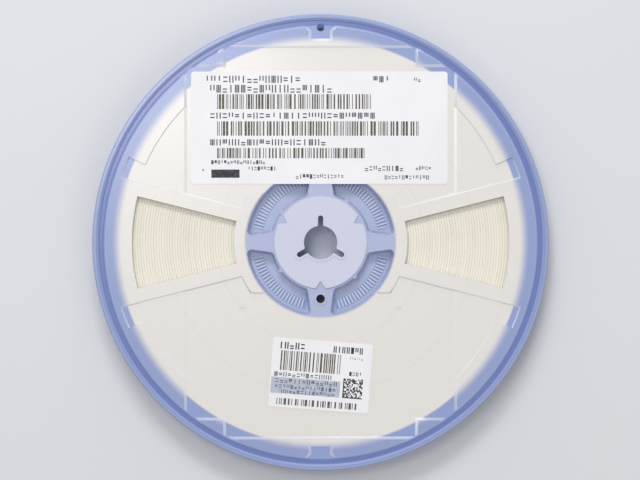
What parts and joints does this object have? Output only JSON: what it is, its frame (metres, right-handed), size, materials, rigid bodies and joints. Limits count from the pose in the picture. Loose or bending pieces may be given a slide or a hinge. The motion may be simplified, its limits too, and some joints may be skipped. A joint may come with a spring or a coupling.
{
  "type": "smd tape reel",
  "caption": "Flat translucent plastic reel of wound paper carrier tape, with wedge windows, a keyed arbor hole, ribbed pockets in the hub and paper labels on one face.",
  "frame": {"origin": "centre of the reel's lower face, on the arbor's axis", "axes": "+Z along the arbor's axis towards the labelled face, +Y towards the main label, +X to its right when the label is read"},
  "size_m": [0.178, 0.178, 0.0132],
  "materials": {
    "reel_plastic": "satin, milky and translucent",
    "tape_paper": "matte paper edge",
    "label_paper": "smooth printed paper",
    "strip_film": "clear film"
  },
  "bodies": {
    "root": {"upper_half": "reel_plastic", "lower_half": "reel_plastic", "tape_roll": "tape_paper", "main_label": "label_paper", "price_label": "label_paper", "end_strip": "strip_film"}
  },
  "joints": []
}
